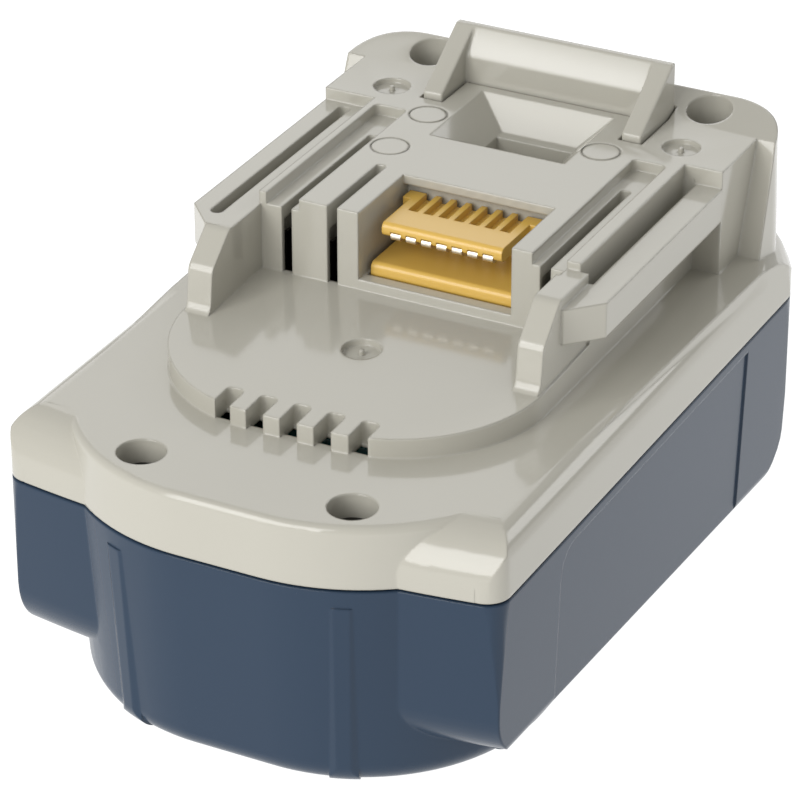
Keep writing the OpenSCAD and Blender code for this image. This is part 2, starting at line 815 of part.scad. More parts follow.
module lower_case() {
    color([0.29, 0.35, 0.42]) difference() {
        union() {
            difference() {
                union() {
                    core(0, core_draft, 0, seam_z, foot_r);
                    wing_low();
                    nose_ribs();
                }
                tub_inside();
                both_sides() side_panel();
            }
            translate([0, 0, seam_z - wall]) linear_extrude(wall + tongue_h) difference() {
                seam_plan(wall / 2 + slide_gap / 2);
                seam_plan(wall);
            }
            intersection() {
                core(core_wall / 2, core_draft, floor_t - eps, seam_z, 0);
                union() {
                    at_front_screws() post(shank_r + screw_gap + boss_wall, 0, seam_z);
                    at_rear_screws() post(shank_r + screw_gap + boss_wall, 0, seam_z);
                }
            }
            for (s = [-1, 1]) translate([s * spring_x, spring_y, 0]) {
                post(spring_d / 2 + boss_wall / 2, floor_t - eps, spring_seat);
                post(spring_d / 2 - spring_wire - slide_gap, floor_t, spring_seat + spring_d);
            }
        }
        at_front_screws() post(shank_r + screw_gap, floor_t + wall, far);
        at_rear_screws() post(shank_r + screw_gap, floor_t + wall, far);
        box(-button_w / 2 - wall, button_w / 2 + wall, bar_y, far, seam_z, far);
    }
}

// The cover

// Outline of the plate, with its swept front corners
module plate_outline(inset) {
    hx = groove_x - inset;
    rn = hx - plate_flat / 2;
    y0 = plate_y + inset;
    for (s = [-1, 1]) translate([s * plate_flat / 2, y0 + rn]) circle(rn);
    translate([-plate_flat / 2, y0]) square([plate_flat, rn]);
    translate([-hx, y0 + rn]) square([2 * hx, far]);
}

module plate() {
    intersection() {
        translate([0, 0, seam_z]) linear_extrude(far) plate_outline(0);
        across(-far, far) polygon([
            [plate_y, roof_z], [plate_y, plate_z], [block_y, plate_high],
            [block_y + wall, plate_high], [block_y + wall, roof_z]
        ]);
    }
}

// Wall with a swept front that guides the tool's terminals
module guide_wall(lift) {
    top_a = [block_y + wall, rail_z + lift];
    top_b = [guide_y, rail_z + lift];
    brow = [guide_foot, rail_z - guide_drop];
    foot = [guide_foot - plate_rise / 2, plate_z + plate_rise / 2];
    toe = [guide_foot - 3 * guide_r, plate_z];
    across(groove_x - guide_w, groove_x) polygon(concat(
        [top_a],
        turn(top_a, top_b, brow, guide_r),
        turn(top_b, brow, foot, guide_r),
        turn(brow, foot, toe, guide_r),
        [toe, [toe.x, roof_z], [block_y + wall, roof_z]]
    ));
}

module guide_walls() {
    intersection() {
        translate([0, 0, seam_z]) linear_extrude(far) plate_outline(slide_gap);
        union() {
            guide_wall(guide_lift);
            mirror([1, 0, 0]) guide_wall(0);
        }
    }
}

module rail_flange(drop) {
    tip = block_y - rail_ahead;
    translate([0, 0, rail_z - rail_lip]) linear_extrude(rail_lip - drop) polygon([
        [groove_x - wall, tip], [groove_x, tip], [rail_x, tip + rail_tip],
        [rail_x, rail_end + eps], [groove_x - wall, rail_end + eps]
    ]);
}

module back_plate() {
    hx = half_w - back_inset;
    rb = back_plate_r;
    top = block_z + ramp_rise;
    y_low = back_y - back_lean;
    y_end = y_back - ramp_in;
    intersection() {
        translate([0, 0, seam_z + top]) mirror([0, 0, 1]) {
            for (s = [0, 1]) translate([(1 - 2 * s) * (hx - rb), y_end - rb, 0]) rotate([0, 0, 90 * s])
                rotate_extrude(angle = 90) half_section(rb, rb - back_draft, seam_z, top, back_top_r);
            translate([rb - hx, y_end - rb, 0]) rotate([90, 0, 90])
                linear_extrude(2 * (hx - rb)) half_section(rb, rb - back_draft, seam_z, top, back_top_r);
            along(y_low - wall, y_end - rb) full_section(hx, hx - back_draft, seam_z, top, back_top_r);
        }
        across(-far, far) polygon([
            [y_low, seam_z], [y_low, deck_z], [back_y, block_z], [y_end - back_draft, top],
            [y_end, top], [y_end, seam_z]
        ]);
    }
}

module cover_outside() {
    back_round(0, deck_z) union() {
        wing_top(0, deck_z);
        deck_core(0, deck_z, deck_edge_r);
    }
    plate();
    guide_walls();
    rail_flange(lip_drop);
    mirror([1, 0, 0]) rail_flange(0);
    box(-groove_x, groove_x, block_y, back_y + wall, roof_z, rail_z);
    box(-top_left, top_right, block_y, back_y, rail_z - eps, block_z);
    both_sides() box(0, rail_x - eps, rail_end, back_y + eps, roof_z, block_z);
    back_plate();
}

module cover_inside() {
    back_round(wall, roof_z) union() {
        wing_top(wall, roof_z);
        deck_core(wall, roof_z, 0);
    }
    box(-groove_x + guide_w, groove_x - guide_w, board_y - wall, block_y + slot_len,
        seam_z, plate_z - deck_t);
    box(positive_x, negative_x - channel_w, bay_end + bay_under + wall / 2, pocket_y - wall,
        seam_z, block_z - wall - channel_drop);
    box(-foot_half - slide_gap, foot_half + slide_gap, hook_back - spring_d - slide_gap, shaft_end,
        seam_z, hook_low + hook_foot + slide_gap);
}

// Wall behind the release button, with a lip under it
module button_wall() {
    hx = button_w / 2 + slide_gap + wall;
    box(-hx, hx, shaft_end, y_back - wall + eps, seam_z, roof_z + eps);
}

// Recess that the button slides in, and the slot for its stem
module button_recess() {
    hx = button_w / 2 + slide_gap;
    box(-hx, hx, recess_y, far, window_low, window_top);
    stem = spring_x + slide_gap;
    box(-stem, stem, hook_back, far, stem_top - stem_h - travel - slide_gap, stem_top + slide_gap);
}

// Opening in the block's top that the hook slides through
module hook_opening() {
    hx = hook_w / 2 + slide_gap;
    z0 = seam_z;
    box(-hx, hx, bar_y - slide_gap, hook_back + slide_gap, z0, far);
    both_sides()
        box(hook_w / 2 - prong_w - slide_gap, hx, tip_y - slide_gap, hook_back, z0, far);
}

// Tapered pocket ahead of the hook, with a ledge at its back and a deeper well
module latch_pocket() {
    z0 = block_z - pocket_depth;
    low_end = pocket_end - pocket_back;
    low_half = pocket_w / 2 - pocket_slope;
    intersection() {
        along(-far, far) polygon([
            [-low_half, z0], [low_half, z0],
            [pocket_w / 2, block_z], [pocket_w / 2, far], [-pocket_w / 2, far], [-pocket_w / 2, block_z]
        ]);
        across(-far, far) polygon([
            [pocket_y, z0], [low_end, z0], [pocket_end, block_z], [pocket_end, far], [pocket_y, far]
        ]);
    }
    box(-low_half, low_half, pocket_y, low_end - pocket_ledge, z0 - pocket_well, z0 + eps);
}

// Upright slot whose far end has rounded corners
module round_slot(x0, x1, y0, y1, z0) {
    r = min(slot_r, (x1 - x0) / 3);
    translate([0, 0, z0]) linear_extrude(far) {
        translate([x0, y0]) square([x1 - x0, y1 - r - y0]);
        translate([x0 + r, y1 - r - eps]) square([x1 - x0 - 2 * r, r + eps]);
        for (x = [x0 + r, x1 - r]) translate([x, y1 - r]) circle(r, $fn = small_fn);
    }
}

// Slot, channel and fork pocket of one terminal
module terminal_slot(x, len, channel) {
    translate([x, 0, 0]) {
        round_slot(-slot_w / 2, slot_w / 2, block_y - wall, block_y + len, plate_high);
        box(-slot_w / 2 - fork_room, slot_w / 2 + fork_room, block_y + block_front,
            block_y + block_front + fork_len + wall, seam_z, block_z - wall - channel_drop);
        if (channel) {
            shift = sign(x) * channel_shift - channel_w / 2;
            round_slot(shift, shift + channel_w, block_y - wall, block_y + channel_len,
                block_z - channel_drop);
        }
    }
}

module connector_bay() {
    x0 = bay_x - bay_w / 2;
    x1 = bay_x + bay_w / 2;
    box(x0, x1, block_y - wall, bay_end, sill_z, far);
    box(x0, x1, bay_end - eps, bay_end + bay_under, sill_z, block_z - bay_lid);
    box(x0 + slide_gap, x1 - slide_gap, block_y + tray_set - slide_gap, bay_end + bay_under - slide_gap,
        seam_z, sill_z + eps);
}

module vents() {
    hole_y = plate_y + vent_len - vent_hole;
    for (i = [0:vent_count - 1]) {
        x = (i - (vent_count - 1) / 2) * vent_pitch;
        round_slot(x - vent_w / 2, x + vent_w / 2, plate_y - wall, plate_y + vent_len, deck_z);
        box(x - vent_w / 2, x + vent_w / 2, hole_y, plate_y + vent_len - slot_r, seam_z, far);
    }
    half = (vent_count - 1) / 2 * vent_pitch + vent_w;
    box(-half, half, hole_y, plate_y + vent_len + wall, seam_z, deck_z - vent_lip);
}

module rail_slots() {
    z0 = rail_z - rail_slot_depth;
    x = rail_x - rail_slot_in;
    y0 = block_y - rail_tip;
    y1 = rail_end - rail_slot_w;
    translate([-x, 0, z0]) linear_extrude(far) {
        translate([-rail_slot_w / 2, y0]) square([rail_slot_w, y1 - y0]);
        translate([0, y0]) circle(rail_slot_w / 2);
        translate([0, y1]) circle(rail_slot_w / 2);
    }
    round_slot(top_right, top_right + rail_slot_w, block_y, rail_end, z0);
}

// Moulding gate: a round dimple with the broken stub left in its middle
module gate() {
    difference() {
        translate([0, 0, -gate_depth]) cylinder(r = gate_r, h = far, $fn = mark_fn);
        translate([0, 0, -gate_depth - eps]) cylinder(r = stub_r, h = gate_depth, $fn = small_fn);
    }
}

module ring_mark() {
    difference() {
        translate([0, 0, -ring_t]) cylinder(r = ring_r, h = far, $fn = mark_fn);
        translate([0, 0, -2 * ring_t]) cylinder(r = ring_r - ring_t, h = 2 * far, $fn = mark_fn);
    }
}

module marks() {
    for (s = [-1, 1]) translate([s * gate_x, y_back - gate_set, block_z]) gate();
    translate([0, block_y - gate_ahead, plate_z + plate_rise / 2]) gate();
    for (k = [0, 1]) translate([-ring_left, block_y + ring_set - k * ring_step, block_z]) ring_mark();
    translate([ring_right, block_y + ring_set, block_z]) ring_mark();
}

// Groove round the cover's rim that the tub's tongue sits in
module seam_rebate() {
    gate_half = button_w / 2 + wall;
    difference() {
        translate([0, 0, seam_z]) linear_extrude(tongue_h + seam_gap) difference() {
            seam_plan(wall / 2);
            seam_plan(wall + slide_gap);
        }
        box(-gate_half, gate_half, bar_y, far, 0, far);
    }
}

module upper_case() {
    color([0.73, 0.73, 0.70]) difference() {
        union() {
            difference() {
                cover_outside();
                cover_inside();
            }
            at_front_screws() post(front_hole_r + boss_wall, seam_z, roof_z + eps);
            at_rear_screws() post(rear_hole_r + boss_wall, seam_z, roof_z + eps);
            button_wall();
        }
        translate([0, 0, seam_z - eps]) linear_extrude(seam_gap + eps) square(far, center = true);
        seam_rebate();
        hook_opening();
        latch_pocket();
        terminal_slot(charge_x, slot_len, true);
        terminal_slot(positive_x, slot_short, false);
        terminal_slot(negative_x, slot_len, true);
        connector_bay();
        vents();
        rail_slots();
        marks();
        button_recess();
        at_front_screws() {
            post(front_hole_r, seat_z, far);
            post(shank_r + screw_gap, seam_z, far);
        }
        at_rear_screws() {
            post(rear_hole_r, seat_z, far);
            post(shank_r + screw_gap, seam_z, far);
        }
    }
}

// The latch

module latch_hook() {
    top = block_z + hook_h;
    color([0.76, 0.75, 0.70]) {
        both_sides() across(hook_w / 2 - prong_w, hook_w / 2) polygon([
            [tip_y, shaft_z], [tip_y, block_z + prong_tip], [hook_back - hook_flat, top],
            [hook_back, top], [hook_back, shaft_z]
        ]);
        across(-hook_w / 2, hook_w / 2) polygon([
            [bar_y, shaft_z], [bar_y, block_z + bar_face], [hook_back - hook_flat, top],
            [hook_back, top], [hook_back, shaft_z]
        ]);
        box(-foot_half, foot_half, bar_y, hook_back, hook_low, shaft_z + eps);
        box(-foot_half, foot_half, hook_back - spring_d, hook_back, hook_low, hook_low + hook_foot);
    }
}

module release_button() {
    face = y_back - button_in;
    low = button_z - button_h;
    ridge_step = button_h / (ridge_count + 1);
    color([0.73, 0.73, 0.70]) {
        box(-button_w / 2, button_w / 2, face - button_t, face - ridge_h, low, button_z);
        for (i = [1:ridge_count])
            box(-button_w / 2 + ridge_h, button_w / 2 - ridge_h, face - ridge_h - eps, face,
                low + i * ridge_step - ridge_h, low + i * ridge_step + ridge_h);
        box(-spring_x, spring_x, hook_back, face - button_t + eps, stem_top - stem_h, stem_top);
    }
}

// One unbroken coil of round wire, swept along its helix
module latch_spring() {
    sides = 6;
    steps = 12 * spring_turns;
    coil_r = (spring_d - spring_wire) / 2;
    rise = spring_free - spring_wire;
    points = [
        for (i = [0:steps]) for (k = [0:sides - 1])
            let (a = 360 * spring_turns * i / steps, b = 360 * k / sides)
            let (r = coil_r + spring_wire / 2 * cos(b))
            [r * cos(a), r * sin(a), spring_wire / 2 + rise * i / steps + spring_wire / 2 * sin(b)]
    ];
    walls = [
        for (i = [0:steps - 1]) for (k = [0:sides - 1])
            let (p = i * sides + k, q = i * sides + (k + 1) % sides)
            each [[p, q, q + sides], [p, q + sides, p + sides]]
    ];
    first = [for (k = [1:sides - 2]) [0, k + 1, k]];
    base = steps * sides;
    last = [for (k = [1:sides - 2]) [base, base + k, base + k + 1]];
    translate([0, 0, spring_seat]) polyhedron(points, concat(walls, first, last));
}

module latch_spring_at(s) {
    color([0.75, 0.76, 0.78]) translate([s * spring_x, spring_y, 0]) latch_spring();
}

// The yellow connector and its contacts

function contact_x(i) = bay_x + comb_shift + (i - (contact_count + 1) / 2) * contact_pitch;

module rounded_lip(x0, x1, y0, y1, z0, z1) {
    across(x0, x1) {
        translate([y0 + lip_r, z0]) square([y1 - y0 - lip_r, z1 - z0]);
        translate([y0, z0 + lip_r]) square([lip_r + eps, z1 - z0 - 2 * lip_r]);
        translate([y0 + lip_r, z0 + lip_r]) circle(lip_r);
        translate([y0 + lip_r, z1 - lip_r]) circle(lip_r);
    }
}

comb_y = block_y + comb_set;
comb_z = block_z - comb_drop;
comb_low = comb_z - comb_t;
tray_z = block_z - tray_drop;
comb_end = bay_end + bay_under - 2 * slide_gap;

module terminal_block() {
    mid = bay_x + comb_shift;
    tray_y = block_y + tray_set;
    room = contact_w / 2 + cell_gap;
    color([0.88, 0.74, 0.38]) difference() {
        union() {
            rounded_lip(bay_x - tray_w / 2, bay_x + tray_w / 2, tray_y, comb_end, tray_z - tray_t, tray_z);
            rounded_lip(mid - comb_w / 2, mid + comb_w / 2, comb_y, comb_end, comb_low, comb_z);
            box(mid - comb_w / 2, mid + comb_w / 2, comb_end - comb_back, comb_end, tray_z - eps, comb_z);
            box(bay_x - tray_w / 2, bay_x + tray_w / 2, comb_end - comb_ear, comb_end, comb_low, comb_z);
            box(mid - comb_w / 2, mid + comb_w / 2, tray_y + tray_t, comb_end,
                board_top, tray_z - tray_t + eps);
        }
        for (i = [1:contact_count]) translate([contact_x(i), 0, 0]) {
            box(-contact_w / 2, contact_w / 2, comb_y + comb_lip, far,
                comb_low + comb_t / 2, far);
            box(-room, room, comb_y - lip_r, comb_y + 2 * contact_r + cell_gap,
                comb_low - eps, comb_low + 2 * contact_r - contact_t + cell_gap);
            box(-room, room, comb_end - comb_back - contact_t - cell_gap, comb_end - comb_back,
                board_z, tray_z + eps);
        }
    }
}

module signal_contact(i) {
    leg = comb_end - comb_back;
    nose_z = comb_low - contact_t + contact_r;
    color([0.80, 0.78, 0.74]) translate([contact_x(i) - contact_w / 2, 0, 0]) {
        across(0, contact_w) {
            translate([comb_y + contact_r, nose_z]) circle(contact_r);
            translate([comb_y + contact_r, comb_low - contact_t])
                square([leg - comb_y - contact_r, contact_t]);
            translate([leg - contact_t, board_top]) square([contact_t, comb_low - board_top]);
        }
    }
}

// Fork terminal: two bowed leaves on a foot that is soldered to the board
module fork(x) {
    y0 = block_y + block_front + wall / 2;
    y1 = y0 + fork_len;
    mid = (y0 + y1) / 2;
    wide = slot_w / 2 + fork_room - leaf_t - slide_gap;
    color([0.72, 0.52, 0.34]) translate([x, 0, board_top]) {
        both_sides() linear_extrude(fork_h) polygon([
            [wide, y0], [wide + leaf_t, y0], [pinch / 2 + leaf_t, mid], [wide + leaf_t, y1],
            [wide, y1], [pinch / 2, mid]
        ]);
        box(-wide, wide, y0 + 2 * leaf_t, y1 - 2 * leaf_t, 0, leaf_t);
    }
}

// Screws

module screw() {
    difference() {
        translate([0, 0, seat_z]) cylinder(r = head_r, h = head_h);
        for (a = [0, 90]) rotate([0, 0, a])
            box(-cross_r, cross_r, -cross_w / 2, cross_w / 2, seat_z + head_h / 2, far);
    }
    translate([0, 0, seat_z - shank_len]) cylinder(r = shank_r, h = shank_len + eps);
}

module front_screws() {
    color([0.25, 0.26, 0.28]) at_front_screws() screw();
}

module rear_screws() {
    color([0.25, 0.26, 0.28]) at_rear_screws() screw();
}

// Cells, holders and straps

module cell(i) {
    flip = (i % 2 == 0) ? 1 : -1;
    body = cell_len - cap_h;
    color([0.20, 0.45, 0.35]) translate([0, cell_y(i), cell_z(i)]) rotate([0, flip * 90, 0]) {
        translate([0, 0, -cell_len / 2]) cylinder(d = cell_d, h = body);
        translate([0, 0, body - cell_len / 2 - eps]) cylinder(r = cap_r, h = cap_h + eps);
    }
}

module cell_holder(s) {
    reach = cell_d / 2 + holder_edge;
    split = row_z + row_step / 2;
    x1 = strap_x - cap_h - holder_in;
    first = cell_y(0);
    last = cell_y(cell_count - 1);
    color([0.12, 0.12, 0.13]) mirror([s < 0 ? 1 : 0, 0, 0]) difference() {
        across(x1 - holder_w, x1) {
            translate([first - reach, floor_t]) square([last - first + 2 * reach, split - floor_t]);
            translate([first - cell_pitch / 2 - reach, split - eps])
                square([last - first + 2 * reach, board_z - split + eps]);
        }
        for (i = [0:2 * cell_count - 1]) translate([x1 - holder_w - eps, cell_y(i), cell_z(i)])
            rotate([0, 90, 0]) cylinder(d = cell_d + 2 * cell_gap, h = holder_w + 2 * eps);
    }
}

// Strap welded over a run of neighbouring cells
module strap(s, run) {
    color([0.78, 0.78, 0.76]) mirror([s < 0 ? 1 : 0, 0, 0]) across(strap_x, strap_x + strap_t) {
        for (i = run) translate([cell_y(i), cell_z(i)]) circle(d = strap_w);
        for (k = [0:len(run) - 2]) {
            a = [cell_y(run[k]), cell_z(run[k])];
            b = [cell_y(run[k + 1]), cell_z(run[k + 1])];
            translate(a) rotate(atan2(b.y - a.y, b.x - a.x))
                translate([0, -strap_w / 4]) square([norm(b - a), strap_w / 2]);
        }
    }
}

module insulator(s) {
    x = strap_x + strap_t;
    last = cell_y(cell_count - 1) + sheet_edge;
    split = row_z + row_step / 2;
    low = row_z - sheet_low;
    high = cell_z(cell_count) + sheet_edge;
    color([0.85, 0.84, 0.78]) mirror([s < 0 ? 1 : 0, 0, 0]) across(x, x + sheet_t) {
        translate([cell_y(0) - sheet_edge, low]) square([last - cell_y(0) + sheet_edge, split - low + eps]);
        translate([cell_y(cell_count) - sheet_edge, split])
            square([last - cell_y(cell_count) + sheet_edge, high - split]);
    }
}

module floor_pad() {
    y0 = row_y - cell_d / 4;
    color([0.18, 0.18, 0.19])
        box(-pad_w / 2, pad_w / 2, y0, y0 + pad_len, floor_t, floor_t + pad_t);
}

// Board and what stands on it

module circuit_board() {
    color([0.10, 0.32, 0.20])
        box(-board_w / 2, board_w / 2, board_y, board_y + board_len, board_z, board_top);
}

chip_y = bay_end + 2 * wall;

module controller_chip() {
    color([0.08, 0.08, 0.09])
        box(-chip_w / 2, chip_w / 2, chip_y, chip_y + chip_w, board_top, board_top + chip_t);
}

// Stands midway between the bay's back wall and the latch pocket
module bulk_capacitor() {
    x = chip_w / 2 + cap_d / 2 + wall;
    y = (bay_end + bay_under + pocket_y - wall / 2) / 2;
    color([0.70, 0.71, 0.73]) translate([x, y, board_top]) cylinder(d = cap_d, h = cap_len);
}

module power_fuse() {
    x = -chip_w / 2 - fuse_w - wall;
    color([0.85, 0.85, 0.80])
        box(x, x + fuse_w, chip_y, chip_y + fuse_len, board_top, board_top + fuse_w);
}

// Bead in the valley between two upper cells, with two leads up to the board
module thermistor() {
    i = cell_count + 1;
    y = (cell_y(i) + cell_y(i + 1)) / 2;
    z = cell_z(i) + sqrt(pow(cell_d / 2 + bead_r, 2) - pow(cell_pitch / 2, 2)) + slide_gap / 2;
    color([0.15, 0.15, 0.16]) {
        translate([0, y, z]) sphere(bead_r);
        for (s = [-1, 1]) translate([s * bead_r / 2, y, z]) cylinder(r = lead_r, h = board_z - z);
    }
}

lower_case();
upper_case();
latch_hook();
release_button();
latch_spring_at(-1);  // latch_spring_left
latch_spring_at(1);  // latch_spring_right
terminal_block();
for (i = [1:contact_count]) signal_contact(i);
fork(charge_x);  // terminal_charge
fork(positive_x);  // terminal_positive
fork(negative_x);  // terminal_negative
front_screws();
rear_screws();
circuit_board();
controller_chip();
power_fuse();
bulk_capacitor();
thermistor();
floor_pad();
cell_holder(-1);  // cell_holder_left
cell_holder(1);  // cell_holder_right
for (i = [1:2 * cell_count]) cell(i - 1);
strap(-1, [4, 0]);  // strap_left_1
strap(-1, [5, 1, 6, 2]);  // strap_left_2
strap(-1, [7, 3]);  // strap_left_3
strap(1, [4, 0, 5, 1]);  // strap_right_1
strap(1, [6, 2, 7, 3]);  // strap_right_2
insulator(-1);  // insulator_left
insulator(1);  // insulator_right
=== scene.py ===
import math

import bmesh
import bpy
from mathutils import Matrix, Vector


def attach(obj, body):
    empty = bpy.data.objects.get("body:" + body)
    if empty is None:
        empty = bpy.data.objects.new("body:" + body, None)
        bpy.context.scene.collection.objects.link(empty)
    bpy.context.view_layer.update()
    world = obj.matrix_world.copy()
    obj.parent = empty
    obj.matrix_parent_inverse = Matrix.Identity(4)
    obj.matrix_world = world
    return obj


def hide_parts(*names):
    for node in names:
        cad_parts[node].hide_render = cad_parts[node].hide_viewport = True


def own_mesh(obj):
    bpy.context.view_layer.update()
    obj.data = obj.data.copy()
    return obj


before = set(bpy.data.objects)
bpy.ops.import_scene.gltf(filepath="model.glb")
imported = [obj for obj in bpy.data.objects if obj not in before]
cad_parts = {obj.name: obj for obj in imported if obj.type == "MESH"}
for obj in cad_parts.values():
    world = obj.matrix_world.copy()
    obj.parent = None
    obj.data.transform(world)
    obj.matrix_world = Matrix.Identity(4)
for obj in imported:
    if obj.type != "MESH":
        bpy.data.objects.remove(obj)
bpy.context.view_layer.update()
MM = 0.001


# Camera: a long lens that looks down at the nose from its right, as the photograph does.
LOOK_DOWN = 28.91
LOOK_ROUND = 27.167
camera_data = bpy.data.cameras.new("camera")
camera_data.sensor_width = 36.0
camera_data.lens = 180.3
camera = bpy.data.objects.new("camera", camera_data)
camera.location = (225.88 * MM, -444.08 * MM, 304.65 * MM)
camera.rotation_euler = (math.radians(90 - LOOK_DOWN), 0, math.radians(LOOK_ROUND))
bpy.context.scene.collection.objects.link(camera)
bpy.context.scene.camera = camera
bpy.context.scene.view_settings.view_transform = "Standard"


# Studio: a white floor that glows like a light table, a pale surround, one broad soft light
# near the camera, and three panels that draw highlights along the tops and the edges.
# The floor lies a hair below the pack, so that the two faces don't mix in the render.
FLOOR_HALF = 6
FLOOR_DROP = 0.1 * MM
SURROUND = 0.53


def node_material(name):
    """A new node material, with its tree and shader."""
    material = bpy.data.materials.new(name)
    material.use_nodes = True
    return material, material.node_tree, material.node_tree.nodes["Principled BSDF"]


def area_light(name, place, target, size, power):
    """A square soft light that points at target."""
    data = bpy.data.lights.new(name, "AREA")
    data.size = size
    data.energy = power
    lamp = bpy.data.objects.new(name, data)
    lamp.location = place
    lamp.rotation_euler = (Vector(target) - Vector(place)).to_track_quat("-Z", "Y").to_euler()
    bpy.context.scene.collection.objects.link(lamp)


floor_mesh = bpy.data.meshes.new("floor")
floor_bm = bmesh.new()
bmesh.ops.create_grid(floor_bm, x_segments=1, y_segments=1, size=FLOOR_HALF)
bmesh.ops.translate(floor_bm, verts=floor_bm.verts, vec=(0, 0, -FLOOR_DROP))
floor_bm.to_mesh(floor_mesh)
floor_bm.free()
floor = bpy.data.objects.new("floor", floor_mesh)
floor_material, floor_tree, floor_shader = node_material("floor")
floor_shader.inputs["Base Color"].default_value = (0.12, 0.12, 0.12, 1)
floor_shader.inputs["Roughness"].default_value = 0.9
floor_shader.inputs["Emission Color"].default_value = (1, 1, 1, 1)
floor_shader.inputs["Emission Strength"].default_value = 1.0
floor_mesh.materials.append(floor_material)
bpy.context.scene.collection.objects.link(floor)

world = bpy.data.worlds.new("studio")
world.use_nodes = True
world.node_tree.nodes["Background"].inputs["Color"].default_value = (1, 1, 1, 1)
world.node_tree.nodes["Background"].inputs["Strength"].default_value = SURROUND
bpy.context.scene.world = world
area_light("camera light", place=(-0.22, -0.91, 0.51), target=(0, 0, 0.03), size=0.72, power=8.5)
area_light("back panel", place=(-0.62, 1.2, 0.75), target=(0, 0, 0.04), size=1.0, power=3.8)
area_light("top light", place=(-0.38, -0.565, 0.72), target=(0, -0.02, 0.04), size=0.22, power=0.45)
area_light("rim light", place=(0.5, 0.85, 0.42), target=(0, 0, 0.04), size=0.4, power=1.5)


# Tub: the lower case, moulded in slate-blue nylon with a satin face.
# Every corner that shows is eased by the mould's own radius.
MERGE = 0.002 * MM
FLAT = math.radians(0.4)
EDGE = math.radians(24)
SOFT = math.radians(22)
SOFT_ROUNDED = math.radians(50)


def shader_node(tree, kind, **values):
    """A shader node with the given inputs set."""
    made = tree.nodes.new(kind)
    for socket, value in values.items():
        made.inputs[socket.replace("_", " ")].default_value = value
    return made


def pattern(tree, kind, stretch=None, **values):
    """A texture in the piece's own coordinates, stretched along its axes where asked."""
    made = shader_node(tree, kind, **values)
    place = tree.nodes.new("ShaderNodeTexCoord").outputs["Object"]
    if stretch:
        along = shader_node(tree, "ShaderNodeMapping", Scale=stretch)
        tree.links.new(place, along.inputs["Vector"])
        place = along.outputs["Vector"]
    tree.links.new(place, made.inputs["Vector"])
    return made


def blended(tree, shader, factor, colour, shade):
    """Base colour that goes from colour to shade with factor."""
    tint = tree.nodes.new("ShaderNodeMix")
    tint.data_type = "RGBA"
    tint.inputs["A"].default_value = (*colour, 1)
    tint.inputs["B"].default_value = (*shade, 1)
    tree.links.new(factor, tint.inputs["Factor"])
    tree.links.new(tint.outputs["Result"], shader.inputs["Base Color"])
    return tint


def gloss_range(tree, shader, factor, low, high):
    """Roughness that goes from low to high with factor."""
    satin = shader_node(tree, "ShaderNodeMapRange", To_Min=low, To_Max=high)
    tree.links.new(factor, satin.inputs["Value"])
    tree.links.new(satin.outputs["Result"], shader.inputs["Roughness"])


def relief(tree, shader, height, strength, depth):
    """Fine bumps that follow height."""
    bump = shader_node(tree, "ShaderNodeBump", Strength=strength, Distance=depth)
    tree.links.new(height, bump.inputs["Height"])
    tree.links.new(bump.outputs["Normal"], shader.inputs["Normal"])
    return bump


def moulded_plastic(name, colour, shade, gloss, corner):
    """Plastic from a polished mould: slow drift of colour, fine grain in the gloss, eased corners."""
    material, tree, shader = node_material(name)
    drift = pattern(tree, "ShaderNodeTexNoise", Scale=35, Detail=4)
    blended(tree, shader, drift.outputs["Fac"], colour, shade)
    grain = pattern(tree, "ShaderNodeTexNoise", Scale=1800, Detail=2)
    gloss_range(tree, shader, grain.outputs["Fac"], gloss - 0.04, gloss + 0.04)
    bump = relief(tree, shader, grain.outputs["Fac"], strength=0.1, depth=0.003 * MM)
    eased = shader_node(tree, "ShaderNodeBevel", Radius=corner)
    eased.samples = 8
    tree.links.new(eased.outputs["Normal"], bump.inputs["Normal"])
    return material


def copied_solid(node, ending):
    """A new object with a copy of the solid's mesh, and the merged bmesh to shape it with."""
    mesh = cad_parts[node].data.copy()
    bm = bmesh.new()
    bm.from_mesh(mesh)
    bmesh.ops.remove_doubles(bm, verts=bm.verts, dist=MERGE)
    return bpy.data.objects.new(node + ending, mesh), bm


def put_in_place(piece, bm, node, body, material):
    """Gives the piece its shaped mesh and its finish, and lets it stand for its node."""
    for face in bm.faces:
        face.smooth = True
    bm.to_mesh(piece.data)
    bm.free()
    piece.data.materials.clear()
    piece.data.materials.append(material)
    bpy.context.scene.collection.objects.link(piece)
    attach(piece, body)
    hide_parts(node)


def moulded_skin(node, body, material, width=0.0):
    """The solid's own form as one smooth mesh, with a real round of the given width on its edges."""
    skin, bm = copied_solid(node, "_skin")
    bmesh.ops.dissolve_degenerate(bm, edges=bm.edges, dist=MERGE)
    bmesh.ops.dissolve_limit(bm, angle_limit=FLAT, verts=bm.verts, edges=bm.edges)
    if width:
        edges = [edge for edge in bm.edges if edge.calc_face_angle() > EDGE]
        bmesh.ops.bevel(
            bm, geom=edges, offset=width, offset_type="OFFSET", segments=2, profile=0.5,
            affect="EDGES", clamp_overlap=False, loop_slide=True, material=-1,
        )
    soft = SOFT_ROUNDED if width else SOFT
    for edge in bm.edges:
        edge.smooth = edge.calc_face_angle() < soft
    put_in_place(skin, bm, node, body, material)
    even = skin.modifiers.new("even shading", "WEIGHTED_NORMAL")
    even.keep_sharp = True
    even.weight = 100


tub_plastic = moulded_plastic(
    "slate tub plastic", (0.0222, 0.0415, 0.072), (0.0204, 0.0382, 0.068), gloss=0.25, corner=0.6 * MM,
)
tub_plastic.node_tree.nodes["Principled BSDF"].inputs["IOR"].default_value = 1.34
moulded_skin("lower_case", "pack", tub_plastic)


